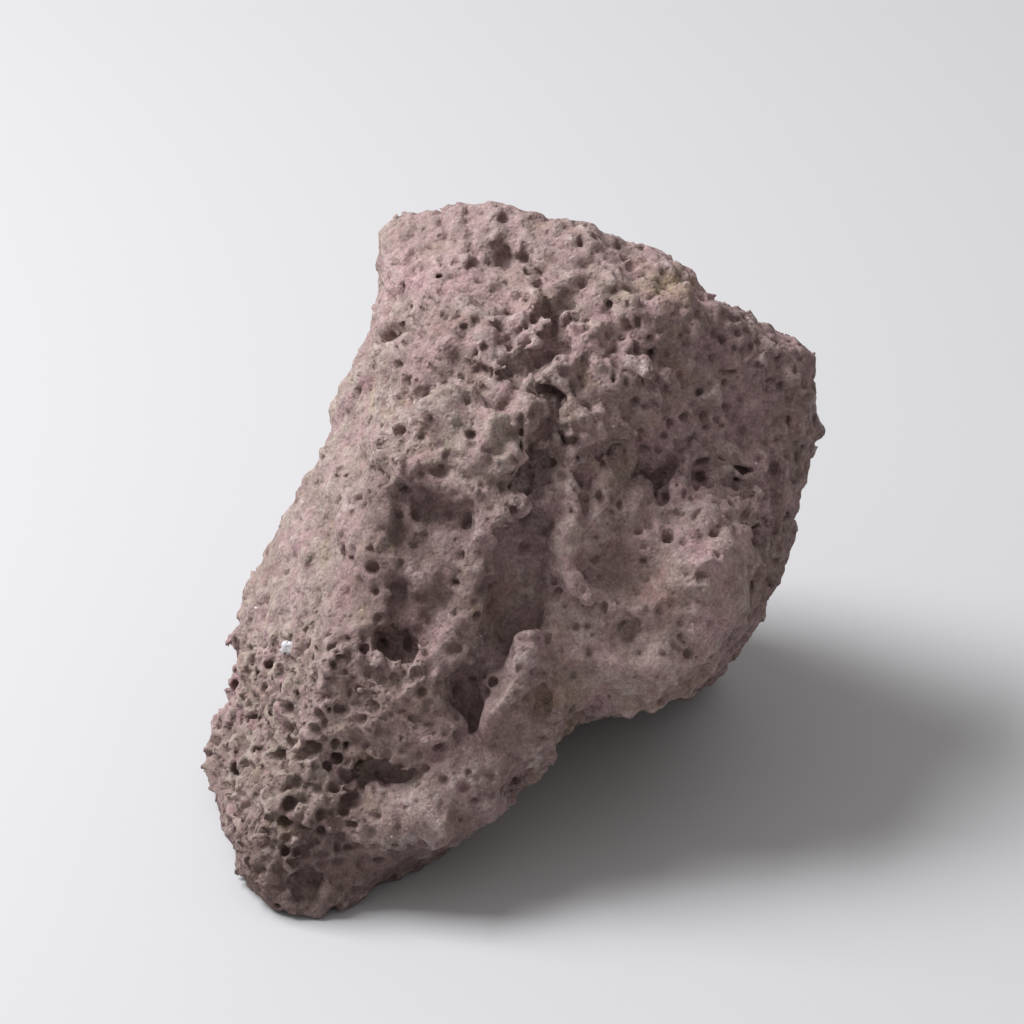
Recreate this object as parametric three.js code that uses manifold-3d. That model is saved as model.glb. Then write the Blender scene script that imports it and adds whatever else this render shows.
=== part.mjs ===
// One loose piece of lava rock (scoria): a lump of frozen lava froth, broken from a larger mass.
//
// The piece is a single solid. Its outside is worked out from a field that is negative inside the stone: a
// few swollen lobes melted into each other, planed off by the old fracture faces, hollowed by the pockets of
// large gas bubbles, and roughened by noise. Rays from the core find where the field is zero. The largest
// bubbles that broke through the skin are then cut out of it as round pits.
//
// Units are millimetres and +Z is up. The stone rests on the plane z = 0, with the middle of its outline over
// the origin and its front towards -Y.
import * as THREE from "three";
import Module from "manifold-3d";
import { ImprovedNoise } from "three/addons/math/ImprovedNoise.js";
import { mergeVertices } from "three/addons/utils/BufferGeometryUtils.js";

// Driving dimensions: the box that the finished stone fills.
const WIDTH = 46.5; // along X
const DEPTH = 46; // along Y, from the foot in front to the back
const HEIGHT = 41.5; // along Z, from the resting face to the crest

// How the surface is drawn.
const RINGS = 18; // subdivisions of each edge of the icosahedron that the rays start from
const CORE = at(0, -2.6, 17.5); // every ray starts here
const RAY_STEP = 0.5; // how far a ray moves at a time while it looks for the surface
const HALVINGS = 16; // how often the last step of a ray is halved

// How the shapes run into each other.
const MELT = 3; // the fillet between two lobes
const ARRIS = 1.8; // how far the edge between two fracture faces is worn round
const LIP = 1.6; // how far the rim of a hollow is worn round

// The lumps that are too small to be lobes: how far they stand out, and how wide they are.
const LUMPS = [
  { height: 0.9, width: 7.5 },
  { height: 0.4, width: 3.4 },
];

function at(x, y, z) {
  return new THREE.Vector3(x, y, z);
}

// The direction that a face looks in: azimuth 0 is to the front (-Y), 90 to the right (+X), elevation is up.
function facing(azimuth, elevation) {
  const a = THREE.MathUtils.degToRad(azimuth);
  const e = THREE.MathUtils.degToRad(elevation);
  return at(Math.sin(a) * Math.cos(e), -Math.cos(a) * Math.cos(e), Math.sin(e));
}

// Swollen lobes, each planed off by its own fracture faces. A face has the direction it looks in and how far
// out from the middle of the resting face it lies.
const LOBES = [
  {
    name: "body",
    centre: at(3.3, 0.3, 22),
    radii: [26, 26, 25],
    faces: [
      { name: "left flank, high", look: facing(-82, 39), reach: 26.7 },
      { name: "left flank, low", look: facing(-76, 26), reach: 22.6 },
      { name: "brow", look: facing(-16, 67), reach: 34.2 },
      { name: "front", look: facing(0, 22), reach: 21.9 },
      { name: "right cheek", look: facing(33, 18), reach: 17.9 },
      { name: "right edge", look: facing(67, 0), reach: 19.4 },
      { name: "upper right corner", look: facing(76, 29), reach: 32.6 },
      { name: "right shoulder", look: facing(77, 58), reach: 38.6 },
      { name: "crest slope", look: facing(140, 53), reach: 37.6 },
      { name: "crest, right", look: facing(161, 29), reach: 28.7 },
      { name: "back, left", look: facing(-133, 1), reach: 14.6 },
      { name: "back, right", look: facing(117, -26), reach: 9 },
      { name: "back", look: facing(180, -15), reach: 17 },
      { name: "lower right", look: facing(61, -27), reach: 8.5 },
      { name: "underside, front", look: facing(0, -60), reach: -4.2 },
      { name: "underside, right", look: facing(45, -78), reach: -6.6 },
    ],
  },
  {
    name: "crest knob",
    centre: at(-1.5, 9.6, 32.5),
    radii: [15, 12, 13],
    faces: [
      { name: "crest left", look: facing(-70, 6), reach: 8.9 },
      { name: "crest left, top", look: facing(-93, 25), reach: 26.9 },
      { name: "crest top", look: facing(-168, 59), reach: 41.6 },
      { name: "crest back, left", look: facing(-138, -4), reach: 13.8 },
      { name: "brow", look: facing(-16, 67), reach: 34.2 },
      { name: "crest slope", look: facing(140, 53), reach: 37.6 },
      { name: "crest, right", look: facing(161, 29), reach: 28.7 },
    ],
  },
  {
    name: "knob",
    centre: at(12, -5.6, 17.4),
    radii: [10.5, 11, 10],
    faces: [
      { name: "knob left", look: facing(-51, 26), reach: 12.2 },
      { name: "knob top", look: facing(11, 76), reach: 26.5 },
      { name: "knob front", look: facing(13, 14), reach: 19.4 },
      { name: "right edge", look: facing(67, 0), reach: 19.4 },
      { name: "lower right", look: facing(61, -27), reach: 8.5 },
      { name: "underside, knob", look: facing(27, -33), reach: 6.6 },
      { name: "underside, front", look: facing(0, -60), reach: -4 },
    ],
  },
  {
    name: "foot",
    centre: at(-10.3, -11, 9.6),
    radii: [15, 18, 17],
    faces: [
      { name: "left flank, low", look: facing(-76, 26), reach: 22.6 },
      { name: "foot left, high", look: facing(-81, 37), reach: 22.8 },
      { name: "foot left", look: facing(-78, 9), reach: 25 },
      { name: "foot left, low", look: facing(-77, -21), reach: 22.2 },
      { name: "toe", look: facing(-37, -30), reach: 24.2 },
      { name: "sole edge", look: facing(12, -29), reach: 18 },
      { name: "foot right, low", look: facing(43, -33), reach: 6.2 },
      { name: "foot right", look: facing(62, -15), reach: 7.8 },
      { name: "underside, left", look: facing(75, -24), reach: 2.5 },
      { name: "underside, foot", look: facing(55, -44), reach: 2.5 },
      { name: "front", look: facing(0, 22), reach: 21.9 },
    ],
  },
  {
    name: "right heel",
    centre: at(6.5, 11, 7.5),
    radii: [15, 13, 10.5],
    faces: [
      { name: "underside, front", look: facing(0, -60), reach: -4.2 },
      { name: "lower right", look: facing(61, -27), reach: 8.5 },
      { name: "heel right", look: facing(112, 12), reach: 19.5 },
      { name: "heel back", look: facing(168, 14), reach: 22.6 },
    ],
  },
  {
    name: "left heel",
    centre: at(-6, 8, 8),
    radii: [15, 15, 11],
    faces: [
      { name: "heel left", look: facing(-88, 16), reach: 17.6 },
      { name: "heel back, left", look: facing(-138, 20), reach: 20.2 },
      { name: "heel back", look: facing(168, 14), reach: 22.2 },
      { name: "underside, left", look: facing(75, -24), reach: 2.6 },
      { name: "underside, foot", look: facing(55, -44), reach: 2.6 },
    ],
  },
];

// Hollows where the walls of large bubbles broke away. Each is a rounded trough from one end to the other.
const HOLLOWS = [
  { name: "front hollow", from: at(2.2, -17.4, 25), to: at(-0.8, -19.8, 18.5), radius: 4 },
  { name: "left hollow", from: at(-5.6, -15.9, 29.1), to: at(-7.4, -18.8, 24.1), radius: 5.5 },
  { name: "groove", from: at(4.2, -5, 39), to: at(2.4, -13, 31), radius: 2.2 },
  { name: "groove, low", from: at(2.4, -13, 31), to: at(1.6, -17.6, 26), radius: 2.2 },
  { name: "sole", from: at(-9, 1, -3), to: at(4, 5, -2.5), radius: 4.4 },
];

// Pits left by the largest bubbles that opened on the skin. Each lies where a look from the core meets it.
const PITS = [
  { name: "left of the front hollow", look: facing(-32, 6), radius: 1.3 },
  { name: "under the front hollow", look: facing(-12, -8), radius: 1.5 },
  { name: "on the foot", look: facing(-34, -21), radius: 1.3 },
  { name: "left flank", look: facing(-112, 18), radius: 1.3 },
  { name: "groove", look: facing(10, 56), radius: 1.1 },
  { name: "right edge", look: facing(82, 12), radius: 1.6 },
  { name: "right, low", look: facing(108, -8), radius: 1.3 },
  { name: "back, high", look: facing(168, 24), radius: 1.8 },
  { name: "back, low", look: facing(152, -12), radius: 1.2 },
  { name: "back, left", look: facing(-150, 4), radius: 1.5 },
  { name: "left heel", look: facing(-120, -16), radius: 1.3 },
];
const PIT_DETAIL = 2; // subdivisions of the icosahedron that cuts a pit

// Smooth minimum: the lesser of two fields, with a fillet k wide where they meet.
function meltMin(a, b, k) {
  const h = Math.max(k - Math.abs(a - b), 0) / k;
  return Math.min(a, b) - (h * h * k) / 4;
}

function meltMax(a, b, k) {
  return -meltMin(-a, -b, k);
}

function lobeField(p, { centre, radii, faces }) {
  const q = p.clone().sub(centre).divide(at(...radii));
  let f = (q.length() - 1) * Math.min(...radii);
  for (const { look, reach } of faces) {
    f = meltMax(f, p.dot(look) - reach, ARRIS);
  }
  return f;
}

function hollowField(p, { from, to, radius }) {
  const nearest = new THREE.Line3(from, to).closestPointToPoint(p, true, at(0, 0, 0));
  return nearest.distanceTo(p) - radius;
}

const perlin = new ImprovedNoise();

function lumpField(p) {
  let f = 0;
  for (const { height, width } of LUMPS) {
    f += height * perlin.noise(p.x / width, p.y / width, p.z / width);
  }
  return f;
}

// Negative inside the stone, positive outside it.
function field(p) {
  let f = Infinity;
  for (const lobe of LOBES) {
    f = meltMin(f, lobeField(p, lobe), MELT);
  }
  for (const hollow of HOLLOWS) {
    f = meltMax(f, -hollowField(p, hollow), LIP);
  }
  return f + lumpField(p);
}

// The point where a ray from the core leaves the stone.
function surfacePoint(direction) {
  const along = (t) => direction.clone().multiplyScalar(t).add(CORE);
  const inside = (t) => field(along(t)) < 0;
  let near = 0;
  while (inside(near + RAY_STEP)) {
    near += RAY_STEP;
  }
  let far = near + RAY_STEP;
  for (let i = 0; i < HALVINGS; i++) {
    const middle = (near + far) / 2;
    if (inside(middle)) near = middle;
    else far = middle;
  }
  return along(near);
}

function closedIcosahedron(radius, detail) {
  const geometry = new THREE.IcosahedronGeometry(radius, detail);
  geometry.deleteAttribute("normal");
  geometry.deleteAttribute("uv");
  return mergeVertices(geometry);
}

// Everything under the resting plane, as far out as the stone could reach.
function boxBelowRestingPlane() {
  const side = 4 * WIDTH;
  const geometry = new THREE.BoxGeometry(side, side, side).translate(0, 0, -side / 2);
  geometry.deleteAttribute("normal");
  geometry.deleteAttribute("uv");
  return geometry;
}

function stoneGeometry() {
  const geometry = closedIcosahedron(1, RINGS);
  const { position } = geometry.attributes;
  for (let i = 0; i < position.count; i++) {
    const direction = at(0, 0, 0).fromBufferAttribute(position, i).normalize();
    const p = surfacePoint(direction);
    position.setXYZ(i, p.x, p.y, p.z);
  }
  return geometry;
}

const wasm = await Module();
wasm.setup();

function solidOf(geometry) {
  return new wasm.Manifold(
    new wasm.Mesh({
      numProp: 3,
      vertProperties: geometry.attributes.position.array,
      triVerts: new Uint32Array(geometry.index.array),
    }),
  );
}

function geometryOf(solid) {
  const { vertProperties, triVerts } = solid.getMesh();
  return new THREE.BufferGeometry()
    .setAttribute("position", new THREE.BufferAttribute(vertProperties, 3))
    .setIndex(new THREE.BufferAttribute(triVerts, 1));
}

// Cuts the stone flat where it rests, and cuts the pits out of its skin.
function cutStone(geometry) {
  const below = mergeVertices(boxBelowRestingPlane());
  let solid = solidOf(geometry).subtract(solidOf(below));
  for (const { look, radius } of PITS) {
    const mouth = surfacePoint(look);
    const ball = closedIcosahedron(radius, PIT_DETAIL).translate(mouth.x, mouth.y, mouth.z);
    solid = solid.subtract(solidOf(ball));
  }
  return geometryOf(solid);
}

// Centres the stone over the origin and trims its scale so that it just fills the box.
function fitToBox(geometry) {
  geometry.computeBoundingBox();
  const size = geometry.boundingBox.getSize(at(0, 0, 0));
  const middle = geometry.boundingBox.getCenter(at(0, 0, 0));
  return geometry
    .translate(-middle.x, -middle.y, -geometry.boundingBox.min.z)
    .scale(WIDTH / size.x, DEPTH / size.y, HEIGHT / size.z);
}

const stone = new THREE.Mesh(
  fitToBox(cutStone(stoneGeometry())),
  new THREE.MeshStandardMaterial({ color: 0x84706f, roughness: 0.95, metalness: 0 }),
);
stone.name = "lava_rock";
stone.geometry.computeVertexNormals();

const part = new THREE.Group();
part.add(stone);
export default part;
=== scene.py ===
"""Looks of a loose piece of lava rock (scoria).

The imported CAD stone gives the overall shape. This script turns it into a distance field on a fine grid,
works the smaller forms into that field (swells, troughs, dents, crumbly lumps), opens thousands of gas
bubbles on its skin, and draws the result as one closed mesh with a procedural stone material.

Lengths in the sculpting part are millimetres. Blender objects are in metres, in the CAD frame.
"""
import math

import bpy
import numpy as np
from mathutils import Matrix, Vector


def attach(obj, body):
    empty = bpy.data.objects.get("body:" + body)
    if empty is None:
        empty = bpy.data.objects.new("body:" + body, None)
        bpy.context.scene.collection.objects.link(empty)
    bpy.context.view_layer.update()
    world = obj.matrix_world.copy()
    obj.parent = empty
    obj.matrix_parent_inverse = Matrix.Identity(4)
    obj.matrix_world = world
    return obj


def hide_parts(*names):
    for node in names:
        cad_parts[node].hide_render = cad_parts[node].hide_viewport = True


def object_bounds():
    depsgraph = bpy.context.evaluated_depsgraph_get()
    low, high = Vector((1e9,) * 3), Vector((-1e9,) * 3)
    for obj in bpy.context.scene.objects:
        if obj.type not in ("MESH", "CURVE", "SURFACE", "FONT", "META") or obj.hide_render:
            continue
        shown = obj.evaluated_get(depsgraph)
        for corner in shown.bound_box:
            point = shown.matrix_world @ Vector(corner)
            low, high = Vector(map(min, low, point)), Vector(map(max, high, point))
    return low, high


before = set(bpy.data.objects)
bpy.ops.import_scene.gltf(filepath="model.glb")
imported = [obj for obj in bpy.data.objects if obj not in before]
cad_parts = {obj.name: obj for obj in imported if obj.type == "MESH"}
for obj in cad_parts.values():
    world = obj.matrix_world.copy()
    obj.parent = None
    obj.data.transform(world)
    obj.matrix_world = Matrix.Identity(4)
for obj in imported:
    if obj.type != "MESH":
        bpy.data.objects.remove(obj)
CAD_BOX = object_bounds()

import openvdb
from mathutils import Vector

MM = 0.001
NODE = "lava_rock"
SEED = 20

# The grid that the stone is sculpted on.
VOXEL = 0.22
MARGIN = 2.0  # empty room round the stone
BAND = 2.6  # how far from the skin the distances are true
TRIANGLES = 190_000  # of the finished stone

# Features of the front are placed as an eye sees them from this far above the level: millimetres across
# and up from the middle of the stone's outline.
EYE = math.radians(30)
UPWARD = np.array([0, math.sin(EYE), math.cos(EYE)])
TOWARDS = np.array([0, -math.cos(EYE), math.sin(EYE)])


# ---------------------------------------------------------------- noise

rng = np.random.default_rng(SEED)
LATTICE = 32
NOISE_GAIN = 1.6  # brings the noise to about -1 to 1


def random_directions(count):
    v = rng.normal(size=(count, 3))
    return (v / np.linalg.norm(v, axis=1, keepdims=True)).astype(np.float32)


GRADIENTS = random_directions(LATTICE ** 3)


def noise(p, width, shift=0.0):
    """Gradient noise from about -1 to 1 at the points p, whose bumps are about width apart."""
    q = p / np.float32(width) + np.float32(shift)
    cell = np.floor(q)
    t = q - cell
    cell = cell.astype(np.int64)
    ease = t * t * t * (t * (t * 6 - 15) + 10)
    total = np.zeros(len(p), np.float32)
    for corner in np.ndindex(2, 2, 2):
        i, j, k = ((cell + corner) % LATTICE).T
        g = GRADIENTS[(i * LATTICE + j) * LATTICE + k]
        weight = np.prod(np.where(corner, ease, 1 - ease), axis=1)
        total += weight * np.einsum("ij,ij->i", g, t - np.array(corner, np.float32))
    return total * np.float32(NOISE_GAIN)


def billows(p, width, shift=0.0):
    """Rounded lumps with creases between them, from -0.5 to about 1.8, but seldom above 0.8."""
    return np.abs(noise(p, width, shift)) * 2.2 - 0.5


# ---------------------------------------------------------------- the field and its grid

def node_triangles():
    """The CAD stone's corners in millimetres and its triangles."""
    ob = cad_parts[NODE]
    ob.data.calc_loop_triangles()
    points = np.empty(len(ob.data.vertices) * 3, np.float32)
    ob.data.vertices.foreach_get("co", points)
    triangles = np.empty(len(ob.data.loop_triangles) * 3, np.int32)
    ob.data.loop_triangles.foreach_get("vertices", triangles)
    points = points.reshape(-1, 3) @ np.array(ob.matrix_world.to_3x3(), np.float32).T
    return points / MM, triangles.reshape(-1, 3)


POINTS, FACES = node_triangles()
LOW = POINTS.min(0) - MARGIN
SHAPE = tuple(np.ceil((POINTS.max(0) - POINTS.min(0) + 2 * MARGIN) / VOXEL).astype(int))
AXES = [LOW[a] + VOXEL * np.arange(SHAPE[a], dtype=np.float32) for a in range(3)]


def grid_points(i, j, k):
    """The places of the grid points with these indices."""
    return np.stack([AXES[0][i], AXES[1][j], AXES[2][k]], axis=1)


def field_of_node():
    """Distance from the CAD stone's skin at each grid point, negative inside."""
    grid = openvdb.FloatGrid.createLevelSetFromPolygons(
        (POINTS - LOW).astype(np.float64),
        triangles=FACES.astype(np.uint32),
        transform=openvdb.createLinearTransform(voxelSize=VOXEL),
        halfWidth=BAND / VOXEL,
    )
    dense = np.empty(SHAPE, np.float32)
    grid.copyToArray(dense, ijk=(0, 0, 0))
    return dense


def softened(f, rounds):
    """The field with its sharp detail worn away, further with each round."""
    for _ in range(rounds):
        for axis in range(3):
            f = (np.roll(f, 1, axis) + 2 * f + np.roll(f, -1, axis)) / 4
    return f


def sample(f, p):
    """The field at the points p, between its grid points."""
    q = (np.atleast_2d(p) - LOW) / VOXEL
    q = np.clip(q, 0, np.array(SHAPE) - 1.001)
    cell = q.astype(int)
    t = q - cell
    total = np.zeros(len(q))
    for corner in np.ndindex(2, 2, 2):
        i, j, k = (cell + corner).T
        total += f[i, j, k] * np.prod(np.where(corner, t, 1 - t), axis=1)
    return total


def outward(f, p):
    """Unit vectors that point out of the stone at the points p."""
    p = np.atleast_2d(p)
    step = 2 * VOXEL
    n = np.stack([sample(f, p + step * e) - sample(f, p - step * e) for e in np.eye(3)], axis=1)
    return n / np.maximum(np.linalg.norm(n, axis=1, keepdims=True), 1e-6)


def slices(low, high):
    """The part of the grid that holds the box from low to high."""
    a = np.clip(np.floor((np.asarray(low) - LOW) / VOXEL).astype(int), 0, SHAPE)
    b = np.clip(np.ceil((np.asarray(high) - LOW) / VOXEL).astype(int) + 1, 0, SHAPE)
    return tuple(slice(i, j) for i, j in zip(a, b))


def smooth_min(a, b, k):
    """The lower of the two, rounded over where they differ by less than k."""
    h = np.maximum(k - np.abs(a - b), 0) / k
    return np.minimum(a, b) - h * h * (k / 4)


def smooth_max(a, b, k):
    return -smooth_min(-a, -b, k)


# ---------------------------------------------------------------- forms on the front

HEIGHTS = POINTS @ UPWARD  # of the stone's corners, as the eye sees them
OUTLINE_MIDDLE = (HEIGHTS.min() + HEIGHTS.max()) / 2
SIGHT = np.arange(30, -25, -0.1)  # where the stone is looked for along the eye's line, nearest first
SPARE = 1.0  # extra room round what changes the grid


def on_front(f, across, up):
    """Where the eye's line at this place in the outline first meets the stone."""
    start = np.array([across, 0, 0]) + (up + OUTLINE_MIDDLE) * UPWARD
    line = start + SIGHT[:, None] * TOWARDS
    inside = sample(f, line) < 0
    return line[inside.argmax()]


def capsule(s, a, b, radius):
    """Distance from the capsule between a and b, over the part s of the grid."""
    x, y, z = np.ix_(*[AXES[i][s[i]] for i in range(3)])
    d = b - a
    t = ((x - a[0]) * d[0] + (y - a[1]) * d[1] + (z - a[2]) * d[2]) / max(d @ d, 1e-9)
    t = np.clip(t, 0, 1)
    gap = (x - a[0] - t * d[0]) ** 2 + (y - a[1] - t * d[1]) ** 2 + (z - a[2] - t * d[2]) ** 2
    return np.sqrt(gap) - radius


def work(f, path, radius, height, soft):
    """Raises a ridge (height > 0) or presses a trough (height < 0) along a path on the front.

    A path of one point makes a lump or a dent.
    """
    sign = 1 if height > 0 else -1
    on_skin = np.array([on_front(f, *place) for place in path])
    sunk = on_skin - outward(f, on_skin) * (sign * radius - height)
    s = slices(sunk.min(0) - radius - soft - SPARE, sunk.max(0) + radius + soft + SPARE)
    ends = zip(sunk, sunk[1:]) if len(sunk) > 1 else [(sunk[0], sunk[0])]
    tube = np.minimum.reduce([capsule(s, a, b, radius) for a, b in ends])
    f[s] = smooth_min(f[s], tube, soft) if sign > 0 else smooth_max(f[s], -tube, soft)


# (across, up) points of the path, radius, height above the skin, how soft the join is.
FORMS = [
    # the lump left of the groove, and the creases that undercut it
    ([(-4.2, 10.4), (-1.8, 8.8)], 3.0, 1.7, 1.0),
    ([(-9.0, 13.2), (-6.6, 14.6)], 2.2, 0.6, 1.0),
    ([(3.6, 17.4), (3.4, 15.6), (1.6, 14.2)], 1.4, -1.5, 0.7),
    ([(3.2, 12.0), (3.6, 9.6), (2.4, 6.8), (0.6, 4.8)], 1.3, -1.5, 0.8),
    ([(-0.4, 13.2), (-3.6, 13.4), (-6.4, 12.0)], 0.8, -0.6, 0.7),
    # knobbly shoulder on the right of the crease
    ([(6.2, 15.4), (7.6, 12.6)], 2.0, 0.9, 0.9),
    ([(5.6, 9.6), (9.2, 8.6)], 1.6, 0.7, 0.8),
    ([(9.6, 13.0), (11.4, 11.0)], 1.4, 0.6, 0.8),
    ([(8.6, 15.4), (11.6, 14.0)], 0.8, -0.6, 0.6),
    # the scalloped lip over the hollow on the left of the front, and dents inside that hollow
    ([(-10.8, 8.0), (-7.8, 6.4), (-4.8, 4.9), (-1.6, 3.9)], 1.0, 1.1, 0.7),
    ([(-8.8, 4.4), (-6.2, 3.2)], 1.2, -0.5, 0.8),
    ([(-8.6, 1.0)], 1.1, -0.9, 0.5),
    ([(-8.3, -2.8)], 1.2, -0.9, 0.5),
    ([(-9.0, -6.7), (-8.2, -6.6)], 1.2, -1.3, 0.4),
    ([(-4.6, 0.4), (-5.4, -2.6)], 1.6, 0.4, 0.9),
    # the spine between the two hollows, and the smooth hollow beside the knob
    ([(-1.0, 3.2), (-2.2, 0.0), (-3.4, -3.4), (-4.6, -6.0)], 0.9, 0.9, 0.8),
    ([(1.6, 1.4), (1.2, -2.4), (-0.8, -6.4)], 2.2, -2.5, 0.9),
    ([(-1.4, -2.4)], 0.8, -0.9, 0.4),
    # the knob: bright left edge, dimple, lower rim, and the crease above its right half
    ([(4.2, 3.2), (4.7, -0.4), (5.6, -3.2)], 1.1, 1.7, 0.8),
    ([(7.6, -0.6), (10.2, -1.2)], 2.3, -2.0, 1.1),
    ([(8.7, -5.3)], 0.6, -0.9, 0.3),
    ([(10.6, 5.8), (14.2, 5.6), (17.8, 4.8)], 1.1, -1.2, 0.7),
    ([(7.0, 3.6), (10.6, 3.6), (15.8, 3.0)], 2.0, 0.8, 0.9),
    ([(12.6, -2.0), (15.6, -4.0)], 2.6, 0.6, 1.4),
    ([(4.0, -7.0), (7.0, -7.6), (10.4, -8.4), (14.0, -9.4)], 1.1, 0.8, 0.9),
    ([(5.4, -5.0), (9.4, -5.8)], 1.3, -0.5, 0.8),
    ([(20.0, 5.6), (20.0, 1.6)], 0.9, -1.0, 0.6),
    # the slot under the smooth hollow, and the ridge and rim to the right of it
    ([(-2.5, -7.6), (-2.8, -11.4)], 1.25, -1.9, 0.5),
    ([(1.3, -6.8), (0.2, -9.6), (-1.4, -12.6)], 1.0, 1.1, 0.8),
    ([(2.2, -9.4), (2.8, -12.6)], 0.8, -0.5, 0.7),
    ([(3.2, -11.4), (2.2, -14.4), (-0.2, -17.4), (-4.6, -20.0)], 0.9, 1.1, 0.8),
    # the foot: brow over its pit, trough, smooth swell at the bottom, and the dimple under it
    ([(-14.0, -12.8), (-10.0, -12.4), (-6.0, -13.6)], 1.3, 0.7, 0.9),
    ([(-11.0, -15.9), (-7.0, -16.4)], 1.0, -1.2, 0.6),
    ([(-16.4, -17.4), (-12.0, -18.8), (-6.0, -19.4)], 1.9, 1.1, 1.2),
    ([(-15.3, -24.0)], 2.0, -1.2, 0.6),
    # the step where the brow stands in front of the crest
    ([(-10.4, 15.4), (-8.0, 16.8), (-5.6, 18.2)], 1.1, -1.3, 0.8),
    # swells below the crest, and small pits near the top
    ([(-5.4, 17.6), (-3.0, 16.4)], 2.4, 0.6, 1.2),
    ([(7.2, 19.4), (11.0, 17.4)], 2.2, 0.8, 1.2),
    ([(13.6, 17.4), (17.0, 15.6)], 1.8, 0.6, 1.0),
    ([(-0.9, 22.4)], 0.65, -0.9, 0.3),
    ([(1.3, 20.8)], 0.65, -0.9, 0.3),
    ([(-5.2, 20.3)], 0.6, -0.9, 0.3),
    ([(17.0, 5.5)], 0.8, -1.2, 0.3),
]


# ---------------------------------------------------------------- how the skin differs from place to place

# Across, up, reach of the patch; how crumbly it is, how densely it is covered with open bubbles, the radius
# of the largest of them, how much cream and brown go into the colour, in places as painted light.
PATCHES = [
    # the crest and its left end
    (0, 22, 6, 0.35, 0.30, 0.48, 0.2, 0.0),
    (-9, 20, 4, 0.12, 0.22, 0.38, 0.6, 0.0),
    # the left flank; its cream is partly a painted highlight of the lit side
    (-12, 9, 5, 0.22, 0.24, 0.36, 0.8, 0.3),
    (-16, 0, 5, 0.22, 0.22, 0.36, 0.9, 0.4),
    # above the lump left of the groove, and the lump itself
    (-4, 15, 4, 0.85, 0.32, 0.55, 0.2, 0.3),
    (-3, 9, 3, 0.60, 0.25, 0.50, 0.9, 0.1),
    # the crumbly shoulder and the right edge
    (6, 12, 6, 1.10, 0.32, 0.55, 0.2, 0.3),
    (3, 18, 5, 0.90, 0.38, 0.55, 0.1, 0.4),
    (6, 18, 3, 0.80, 0.38, 0.55, 1.2, 0.1),
    (16, 14, 6, 0.55, 0.38, 0.46, 0.0, 0.5),
    (12, 8, 4, 0.80, 0.35, 0.50, 0.1, 0.4),
    # the hollow on the left, and the smooth hollow beside the knob; the brown in them is painted shade
    (-7, -1, 4.4, 0.30, 0.14, 0.52, 0.0, 1.3),
    (1, -3, 3.5, 0.00, 0.05, 0.40, 0.1, 0.4),
    # the knob, and what lies right of it and below it
    (9, -1, 2, 0.05, 0.07, 0.40, 0.2, 0.7),
    (11, -4, 4, 0.35, 0.18, 0.48, 0.3, 0.0),
    (15, -1, 4, 0.40, 0.20, 0.48, 0.3, 0.0),
    (8, -9, 3, 0.10, 0.10, 0.42, 0.7, 0.2),
    # the porous left of the foot, and its brow
    (-18, -11, 4.6, 0.60, 1.00, 0.62, 1.2, 0.6),
    (-18, -18, 6, 0.70, 1.00, 0.62, 1.2, 0.7),
    (-10, -11, 4, 0.55, 0.50, 0.60, 0.3, 0.5),
    # the right of the foot, its smooth swell and its underside; the strong brown low down is painted shade
    (-4, -15, 4, 0.30, 0.22, 0.50, 0.1, 0.9),
    (-8, -19, 3, 0.05, 0.08, 0.42, 0.4, 0.5),
    (-14, -25, 5, 0.15, 0.14, 0.45, 0.1, 4.0),
    (-8, -22.5, 3, 0.10, 0.10, 0.42, 0.1, 3.0),
    # the left edge of the knob, whose cream is a painted highlight, and the ridge right of the slot
    (4.6, 0.4, 1.6, 0.20, 0.10, 0.42, 1.0, 0.0),
    (1, -13, 3, 0.25, 0.16, 0.45, 0.1, 0.6),
]


# Where a small crystal, pale partly as a painted glint, sits in the left flank's skin, and its radius.
CRYSTAL = (-16.8, -6.7)
CRYSTAL_RADIUS = 0.42
CRYSTAL_EDGE = 0.1  # how far outside the crystal its colour still reaches

BACKGROUND = 0.08  # weight of the style that holds where no patch reaches


def skin_style(f, p):
    """Crumbliness, cover, largest bubble, cream and brown at the points p, as in the patches.

    Away from the patches the five drift with two wide noises.
    """
    weight = np.full(len(p), BACKGROUND, np.float32)
    wild = noise(p, 13, 7.3)
    other = noise(p, 9, 3.1)
    back = [0.4 + 0.5 * wild, 0.55 + 0.4 * other, 0.6 + 0.3 * wild, 0.35 + 0.6 * other, 0.35 - 0.5 * wild]
    total = [weight * value.astype(np.float32) for value in back]
    for across, up, reach, *values in PATCHES:
        centre = on_front(f, across, up).astype(np.float32)
        w = np.exp(-((p - centre) ** 2).sum(1) / np.float32(reach ** 2))
        weight += w
        total = [t + w * np.float32(v) for t, v in zip(total, values)]
    return [t / weight for t in total]


def wobble(p):
    """How far the forms are pushed about at the points p, to leave no edge smooth. Little at the floor."""
    wide = [0.6 * noise(p, 4, s) for s in (1.7, 5.9, 9.2)]
    tight = [0.3 * noise(p, 1.7, s) for s in (0.4, 3.8, 7.6)]
    return (np.stack(wide, axis=1) + np.stack(tight, axis=1)) * np.clip(p[:, 2:] / 3, 0.1, 1)


def crumble(f):
    """Roughens the skin: wobbly forms and soft waves everywhere, and creased lumps where it is crumbly."""
    near = np.abs(f) < BAND * 0.8
    p = grid_points(*np.nonzero(near))
    crumbly = np.clip(skin_style(f, p)[0], 0, 1.1)
    q = p + wobble(p)
    lumps = 0.7 * billows(q, 3.0, 2.2) + 0.5 * billows(q, 1.5, 6.4) + 0.2 * billows(q, 0.8, 1.1)
    waves = 0.4 * noise(q, 6, 4.1) + 0.3 * noise(q, 3, 8.8) + 0.12 * noise(q, 1.5, 2.7)
    rough = f.copy()
    rough[near] = sample(f, q) - waves - crumbly * lumps
    return rough


# ---------------------------------------------------------------- gas bubbles

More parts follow.
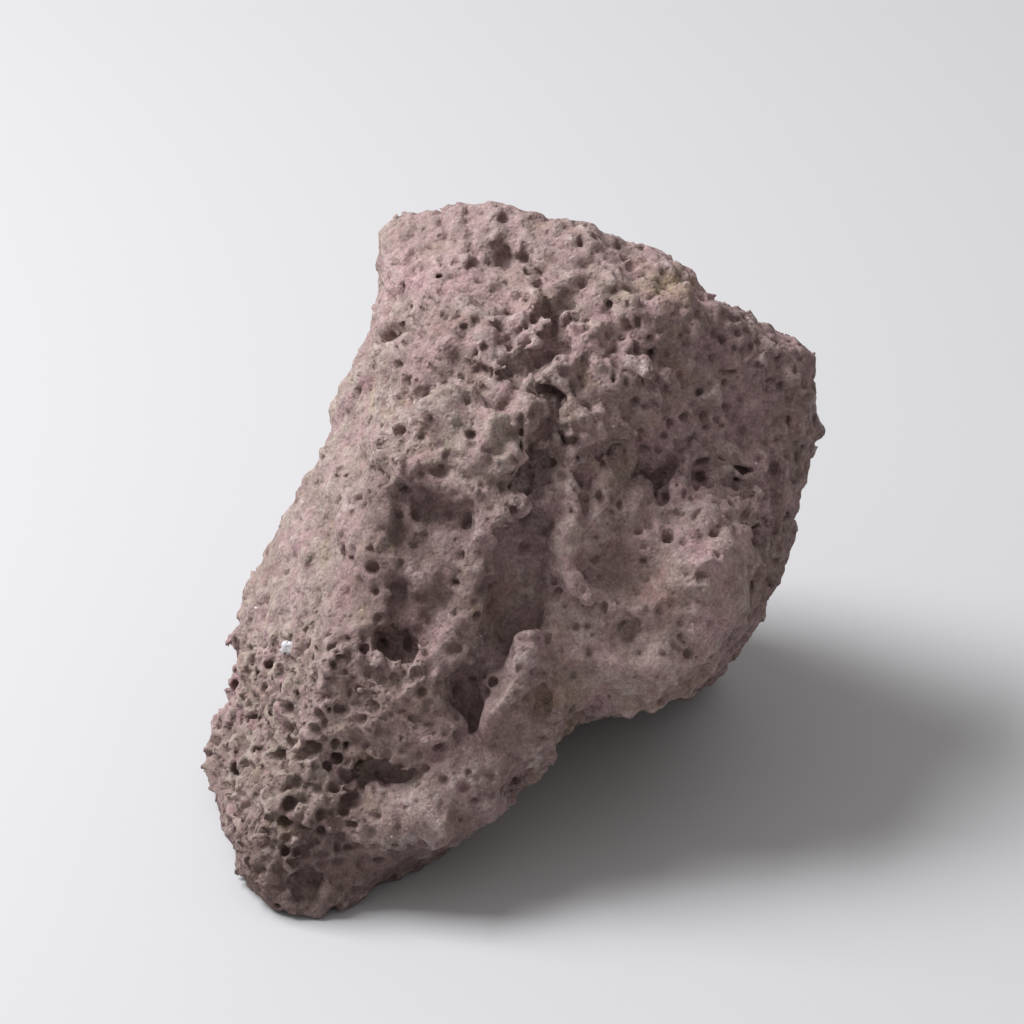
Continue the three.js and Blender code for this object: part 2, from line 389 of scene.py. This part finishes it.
CANDIDATES = 90_000
SEED_BAND = 0.6 * VOXEL  # how near the skin a bubble is tried
RARITY = 5  # the higher, the rarer the large bubbles
SMALLEST = 0.27  # radius of the smallest bubble that is cut; finer ones are left to the material
LARGEST = (0.36, 1)  # limits to the radius of the largest bubble of a place
SUNK = (-0.45, 0.35)  # how deep a bubble's middle lies under the skin, in radii; deeper under dense cover
STRETCH = 0.28  # how unevenly a bubble is squeezed along the three axes
CROWDING = 0.6  # a bubble is left out in a larger one, or nearer its wall than this many radii
CROWDING_GAP = 0.06  # and this much more
ROOM = 1.5  # how far round a bubble the grid is brought up to date, in radii
ROOM_GAP = 0.4  # and this much more
NOWHERE_NEAR = 1.1  # stands for the distance from a bubble where none is near
SPIKE = 0.16  # stone goes where the softened field is higher than this
SPIKE_ROUNDS = 2  # of softening
GRIT_DEPTH = 0.13
GRIT_WIDTH = 0.9


def bubble_seeds(f):
    """Middles and radii of the bubbles to try, the largest first."""
    i, j, k = np.nonzero(np.abs(f) < SEED_BAND)
    pick = rng.choice(len(i), CANDIDATES, replace=False)
    p = grid_points(i[pick], j[pick], k[pick])
    p += rng.uniform(-0.5, 0.5, p.shape).astype(np.float32) * VOXEL
    _, cover, largest, _, _ = skin_style(f, p)
    cover = np.clip(cover, 0, 1)
    largest = np.clip(largest * 0.9, *LARGEST)
    radius = SMALLEST + (largest - SMALLEST) * rng.random(CANDIDATES) ** RARITY
    sunk = rng.uniform(*SUNK, CANDIDATES) + 0.8 * np.maximum(cover - 0.4, 0)
    p -= outward(f, p) * (sample(f, p) + radius * sunk)[:, None]
    keep = rng.random(CANDIDATES) < cover ** 1.6
    p, radius = p[keep], radius[keep]
    order = np.argsort(-radius)
    return p[order], radius[order]


def cut_bubbles(f):
    """Opens the bubbles. One is left out where it would reach well into a larger one."""
    bubbles = np.full(SHAPE, NOWHERE_NEAR, np.float32)
    spots, radii = bubble_seeds(f)
    cells = np.clip(((spots - LOW) / VOXEL).round().astype(int), 0, np.array(SHAPE) - 1)
    stretch = np.exp(rng.normal(0, STRETCH, (len(spots), 3)))
    for c, r, cell, e in zip(spots, radii, cells, stretch):
        if bubbles[tuple(cell)] < CROWDING * r + CROWDING_GAP:
            continue
        room = r * ROOM
        s = slices(c - room - ROOM_GAP, c + room + ROOM_GAP)
        x, y, z = np.ix_(*[AXES[a][s[a]] for a in range(3)])
        gap = np.sqrt(((x - c[0]) * e[0]) ** 2 + ((y - c[1]) * e[1]) ** 2 + ((z - c[2]) * e[2]) ** 2)
        bubbles[s] = np.minimum(bubbles[s], gap - r)
    return np.maximum(f, -bubbles)


def grit(f):
    """Breaks the rims of the bubbles."""
    near = np.abs(f) < 3 * VOXEL
    p = grid_points(*np.nonzero(near))
    f[near] -= GRIT_DEPTH * noise(p, GRIT_WIDTH, 3.3)
    return f


def with_crystal(f, middle):
    """Adds the small crystal to the stone."""
    s = slices(middle - 2 * CRYSTAL_RADIUS, middle + 2 * CRYSTAL_RADIUS)
    f[s] = np.minimum(f[s], capsule(s, middle, middle, CRYSTAL_RADIUS))
    return f


def without_spikes(f):
    """Takes off the thinnest walls and spines, which would only show as splinters."""
    return np.maximum(f, softened(f, SPIKE_ROUNDS) - SPIKE)


# ---------------------------------------------------------------- the mesh

def largest_body(points, faces):
    """The body with the most corners, without the closed bubbles inside it and the crumbs beside it."""
    label = np.arange(len(points))
    while True:
        low = label[faces].min(1)
        new = label.copy()
        for corner in faces.T:
            np.minimum.at(new, corner, low)
        new = new[new]
        if (new == label).all():
            break
        label = new
    root = np.bincount(label).argmax()
    faces = faces[label[faces[:, 0]] == root]
    used, faces = np.unique(faces, return_inverse=True)
    return points[used], faces.reshape(-1, 4)


def skin_of(f):
    """The closed skin of the field as corners in millimetres and four-sided faces."""
    f = np.maximum(f, -AXES[2][None, None, :])  # nothing is left under the resting plane
    grid = openvdb.FloatGrid(background=BAND)
    grid.copyFromArray(f.astype(np.float32))
    grid.transform = openvdb.createLinearTransform(voxelSize=VOXEL)
    points, quads = grid.convertToQuads(isovalue=0)
    return points.astype(np.float64) + LOW, quads.astype(np.int64)


def new_mesh(points, faces):
    me = bpy.data.meshes.new("stone")
    me.vertices.add(len(points))
    me.vertices.foreach_set("co", (points * MM).astype(np.float32).ravel())
    me.loops.add(faces.size)
    me.loops.foreach_set("vertex_index", faces.astype(np.int32).ravel())
    me.polygons.add(len(faces))
    me.polygons.foreach_set("loop_start", np.arange(0, faces.size, faces.shape[1], dtype=np.int32))
    me.update(calc_edges=True)
    me.validate()
    return me


def add_object(name, data):
    ob = bpy.data.objects.new(name, data)
    bpy.context.scene.collection.objects.link(ob)
    return ob


def corners_of(me):
    co = np.empty(len(me.vertices) * 3, np.float32)
    me.vertices.foreach_get("co", co)
    return co.reshape(-1, 3)


def thinned(ob, triangles):
    """Brings the mesh down to about this many triangles, fewest where it is flattest."""
    ob.data.calc_loop_triangles()
    mod = ob.modifiers.new("thin", "DECIMATE")
    mod.ratio = min(1, triangles / len(ob.data.loop_triangles))
    mod.use_collapse_triangulate = True
    done = bpy.data.meshes.new_from_object(ob.evaluated_get(bpy.context.evaluated_depsgraph_get()))
    ob.modifiers.clear()
    ob.data = done


def fit_into_cad(me):
    """Trims the mesh to just inside the CAD stone's box, standing on the same plane."""
    inset = 0.05 * MM
    low, high = np.array(CAD_BOX[0]), np.array(CAD_BOX[1])
    low, high = low + [inset, inset, 0], high - inset
    co = corners_of(me)
    co[:, 2] = np.maximum(co[:, 2], low[2])
    span = co.max(0) - co.min(0)
    co = low + (co - co.min(0)) * ((high - low) / span)
    me.vertices.foreach_set("co", co.astype(np.float32).ravel())
    me.update()


def add_number(me, name, values):
    me.attributes.new(name, "FLOAT", "POINT").data.foreach_set("value", values.astype(np.float32))


# The name of the map that the material is baked through.
MAP_NAME = "OFBake"
MAP_COLUMNS, MAP_ROWS = 3, 2  # one cell for each of the six directions that a face can be turned to
CELL_MARGIN = 0.006
EVENING_ROUNDS = 80


def triangles_of(me):
    found = np.empty(len(me.loops), np.int32)
    me.loops.foreach_get("vertex_index", found)
    return found.reshape(-1, 3)


def evened(place, triangles, rounds):
    """Moves each place to the middle of its neighbours again and again, with the borders held.

    This unfolds walls of bubbles that lie over one another.
    """
    edges = np.concatenate([triangles[:, [0, 1]], triangles[:, [1, 2]], triangles[:, [2, 0]]])
    _, pair, uses = np.unique(np.sort(edges, axis=1), axis=0, return_inverse=True, return_counts=True)
    held = np.unique(edges[uses[pair.ravel()] == 1])
    start, end = edges.T
    neighbours = np.bincount(start, minlength=len(place))
    for _ in range(rounds):
        sums = [np.bincount(start, place[end, k], len(place)) for k in range(2)]
        moved = np.stack(sums, axis=1) / neighbours[:, None]
        moved[held] = place[held]
        place = moved
    return place


def add_map(me, field):
    """Lays the faces out as six views of the stone, from both ends of each axis, each in its own cell."""
    co = corners_of(me) / MM
    triangles = triangles_of(me)
    facing = outward(field, co[triangles].mean(axis=1))
    axis = np.abs(facing).argmax(axis=1)
    view = axis * 2 + (facing[np.arange(len(axis)), axis] > 0)
    used, triangles = np.unique(view[:, None] * len(co) + triangles, return_inverse=True)
    triangles = triangles.reshape(-1, 3)
    view, vertex = np.divmod(used, len(co))
    axis = view // 2
    flat = co[vertex]
    across = np.where(axis == 0, flat[:, 1], flat[:, 0])
    up = np.where(axis == 2, flat[:, 1], flat[:, 2])
    flat = evened(np.stack([across, up], axis=1), triangles, EVENING_ROUNDS)
    for v in range(MAP_COLUMNS * MAP_ROWS):
        mine = view == v
        low, high = flat[mine].min(axis=0), flat[mine].max(axis=0)
        unit = CELL_MARGIN + (1 - 2 * CELL_MARGIN) * (flat[mine] - low) / (high - low)
        flat[mine] = (unit + np.divmod(v, MAP_ROWS)) / (MAP_COLUMNS, MAP_ROWS)
    layer = me.uv_layers.new(name=MAP_NAME)
    layer.uv.foreach_set("vector", flat[triangles].astype(np.float32).ravel())


FACET_ROUNDS = 10  # of softening, to wear away the CAD's facets
DEEPEST = 1.5  # depths and reliefs beyond these limits make no difference to the material
PROUDEST = 1.2


def make_stone():
    whole = softened(field_of_node(), FACET_ROUNDS)
    worked = whole.copy()
    for path, radius, height, soft in FORMS:
        work(worked, path, radius, height, soft)
    skin = crumble(worked)
    crystal_glint = on_front(skin, *CRYSTAL)
    body = with_crystal(without_spikes(grit(cut_bubbles(skin))), crystal_glint)
    points, quads = largest_body(*skin_of(body))
    ob = add_object("lava_rock_skin", new_mesh(points, quads))
    thinned(ob, TRIANGLES)
    p = corners_of(ob.data) / MM
    add_number(ob.data, "depth", np.clip(-sample(skin, p), 0, DEEPEST))
    add_number(ob.data, "relief", np.clip(sample(worked, p), -PROUDEST, PROUDEST))
    _, cover, _, cream, brown = skin_style(worked, p.astype(np.float32))
    add_number(ob.data, "cover", cover)
    add_number(ob.data, "cream", cream)
    add_number(ob.data, "brown", brown)
    from_crystal = np.linalg.norm(p - crystal_glint, axis=1)
    add_number(ob.data, "crystal_glint", from_crystal < CRYSTAL_RADIUS + CRYSTAL_EDGE)
    add_map(ob.data, whole)
    fit_into_cad(ob.data)
    ob.data.shade_smooth()
    return ob


# ---------------------------------------------------------------- material

class Nodes:
    """A short way to write a material's nodes."""

    def __init__(self, name):
        self.material = bpy.data.materials.new(name)
        self.material.use_nodes = True
        self.tree = self.material.node_tree
        self.shader = self.tree.nodes["Principled BSDF"]
        self.place = self.add("ShaderNodeTexCoord").outputs["Object"]

    def add(self, kind, inputs=None, **settings):
        node = self.tree.nodes.new(kind)
        for key, value in settings.items():
            setattr(node, key, value)
        for key, value in (inputs or {}).items():
            self.put(node.inputs[key], value)
        return node

    def put(self, socket, value):
        if isinstance(value, bpy.types.NodeSocket):
            self.tree.links.new(value, socket)
        else:
            socket.default_value = value

    def number(self, name):
        return self.add("ShaderNodeAttribute", attribute_name=name).outputs["Fac"]

    def noise(self, width_mm, detail=2.0, rough=0.5):
        node = self.add("ShaderNodeTexNoise", {"Vector": self.place, "Scale": 1 / (width_mm * MM),
                                               "Detail": detail, "Roughness": rough})
        return node.outputs["Fac"]

    def cells(self, width_mm):
        node = self.add("ShaderNodeTexVoronoi", {"Vector": self.place, "Scale": 1 / (width_mm * MM)})
        return node.outputs["Distance"]

    def math(self, operation, a, b, clamp=False):
        return self.add("ShaderNodeMath", {0: a, 1: b}, operation=operation, use_clamp=clamp).outputs[0]

    def span(self, value, low, high, to_low=0.0, to_high=1.0):
        node = self.add("ShaderNodeMapRange", {"Value": value, "From Min": low, "From Max": high,
                                               "To Min": to_low, "To Max": to_high})
        return node.outputs["Result"]

    def mix(self, share, a, b, blend="MIX"):
        node = self.add("ShaderNodeMix", data_type="RGBA", blend_type=blend)
        self.put(node.inputs[0], share)
        self.put(node.inputs[6], a)
        self.put(node.inputs[7], b)
        return node.outputs[2]


def rgb(r, g, b):
    """A screen colour as the linear colour that Blender works in."""
    return (*[((c / 255 + 0.055) / 1.055) ** 2.4 for c in (r, g, b)], 1)


def stone_material():
    n = Nodes("scoria")
    depth = n.number("depth")
    relief = n.number("relief")
    cover = n.number("cover")
    dark = rgb(82, 62, 59)

    # the body colour: mauve brown, greyer and redder in patches, cream and brown where the patches say so
    colour = n.mix(n.span(n.noise(5, 4, 0.6), 0.38, 0.62), rgb(163, 132, 133), rgb(143, 125, 120))
    colour = n.mix(n.span(n.noise(5, 4, 0.6), 0.52, 0.72), colour, rgb(146, 114, 109))
    # cream: partly the stone's tone, partly a painted highlight on lit faces
    cream_and_highlight = n.math("MULTIPLY", n.number("cream"), n.span(n.noise(1.8, 5, 0.7), 0.42, 0.58))
    colour = n.mix(n.math("MULTIPLY", cream_and_highlight, 0.7, True), colour, rgb(175, 162, 147))
    # brown: partly the stone's tone, partly painted shade in the hollows and under the foot
    brown_and_shade = n.math("MULTIPLY", n.number("brown"), n.span(n.noise(3.5, 4, 0.6), 0.25, 0.6, 0.2))
    colour = n.mix(n.math("MULTIPLY", brown_and_shade, 0.85, True), colour, rgb(112, 92, 88))
    ochre = n.math("MULTIPLY", n.span(n.noise(4.5, 5, 0.65), 0.56, 0.72), n.span(n.noise(14, 2), 0.42, 0.6))
    colour = n.mix(n.math("MULTIPLY", ochre, 0.7), colour, rgb(152, 132, 100))

    # painted highlight on what stands proud, and fine grains
    proud = n.math("MULTIPLY", n.span(relief, -0.1, 0.5), n.span(depth, 0.12, 0.0))
    painted_highlight = n.math("MULTIPLY", proud, n.span(n.noise(1.1, 4, 0.7), 0.42, 0.62))
    colour = n.mix(n.math("MULTIPLY", painted_highlight, 0.5), colour, rgb(192, 177, 172))
    mottle = n.span(n.noise(0.75, 4, 0.7), 0.38, 0.64, 0.8, 1.16)
    grain = n.span(n.noise(0.22, 3, 0.75), 0.35, 0.68, 0.72, 1.22)
    colour = n.mix(1.0, n.mix(1.0, colour, mottle, "MULTIPLY"), grain, "MULTIPLY")

    # bubbles too fine for the mesh; their dark spots are partly their darker insides, partly painted shade
    tiny = n.span(n.cells(0.5), 0.1, 0.42, 1.0, 0.0)
    small = n.math("MULTIPLY", tiny, n.span(cover, 0.1, 0.5, 0.3, 1.0))
    colour = n.mix(n.math("MULTIPLY", small, 0.12), colour, dark)

    # the insides of the bubbles are darker and redder, partly their own colour, partly painted shade
    inside = n.span(depth, 0.14, 0.9)
    colour = n.mix(n.math("MULTIPLY", inside, 0.75), colour, dark)

    # a scatter of tiny pale crystals
    speck = n.span(n.cells(3.4), 0.035, 0.025)
    colour = n.mix(n.math("MULTIPLY", speck, 0.7), colour, rgb(214, 206, 200))
    # the small crystal: near-white, partly a painted glint, and less rough
    crystal_glint = n.number("crystal_glint")
    n.put(n.shader.inputs["Base Color"], n.mix(crystal_glint, colour, rgb(202, 199, 202)))

    matte = n.span(n.noise(0.5, 3), 0.3, 0.7, 0.8, 0.98)
    n.put(n.shader.inputs["Roughness"], n.math("SUBTRACT", matte, n.math("MULTIPLY", crystal_glint, 0.6)))
    n.put(n.shader.inputs["Specular IOR Level"], 0.3)

    # relief too fine for the mesh: tiny bubbles, grit and waves
    grit = n.math("ADD", n.noise(0.3, 5, 0.7), n.math("MULTIPLY", n.noise(0.9, 4, 0.6), 1.4))
    height = n.math("SUBTRACT", grit, small)
    bump = n.add("ShaderNodeBump", {"Strength": 0.8, "Distance": 0.17 * MM, "Height": height})
    n.put(n.shader.inputs["Normal"], bump.outputs["Normal"])
    return n.material


# ---------------------------------------------------------------- the studio, in metres

FLOOR_HALF = 3.0
FLOOR_DROP = 0.0001  # how far under the resting plane the floor lies
WORLD_STRENGTH = 0.48
KEY_PLACE = (-0.25, 0.05, 0.34)
KEY_TARGET = (0, 0, 0.018)
KEY_SIZE = 0.22
KEY_POWER = 2.8
KEY_COLOUR = (0.97, 1.0, 1.03)
LENS = 200
EYE_DISTANCE = 0.42


def make_floor():
    me = bpy.data.meshes.new("floor")
    r = FLOOR_HALF
    me.from_pydata([(-r, -r, 0), (r, -r, 0), (r, r, 0), (-r, r, 0)], [], [(0, 1, 2, 3)])
    n = Nodes("pale floor")
    n.put(n.shader.inputs["Base Color"], rgb(184, 182, 183))
    n.put(n.shader.inputs["Roughness"], 0.9)
    me.materials.append(n.material)
    ob = add_object("floor", me)
    ob.location.z = -FLOOR_DROP


def aim(ob, target):
    ob.rotation_euler = (Vector(target) - ob.location).to_track_quat("-Z", "Y").to_euler()


def make_lamp():
    lamp = bpy.data.lights.new("key", "AREA")
    lamp.size = KEY_SIZE
    lamp.energy = KEY_POWER
    lamp.color = KEY_COLOUR
    ob = add_object("key", lamp)
    ob.location = KEY_PLACE
    aim(ob, KEY_TARGET)


def make_studio():
    world = bpy.data.worlds.new("studio")
    bpy.context.scene.world = world
    world.use_nodes = True
    world.node_tree.nodes["Background"].inputs["Color"].default_value = (1, 1, 1, 1)
    world.node_tree.nodes["Background"].inputs["Strength"].default_value = WORLD_STRENGTH
    make_lamp()
    bpy.context.scene.view_settings.view_transform = "Standard"


def make_camera():
    camera = bpy.data.cameras.new("camera")
    camera.lens = LENS
    camera.clip_start = 0.01
    ob = add_object("camera", camera)
    low, high = np.array(CAD_BOX[0]), np.array(CAD_BOX[1])
    middle = (low + high) / 2
    ob.location = middle + TOWARDS * EYE_DISTANCE
    aim(ob, middle)
    bpy.context.scene.camera = ob


stone = make_stone()
stone.data.materials.append(stone_material())
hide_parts(NODE)
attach(stone, "root")

make_floor()
make_studio()
make_camera()
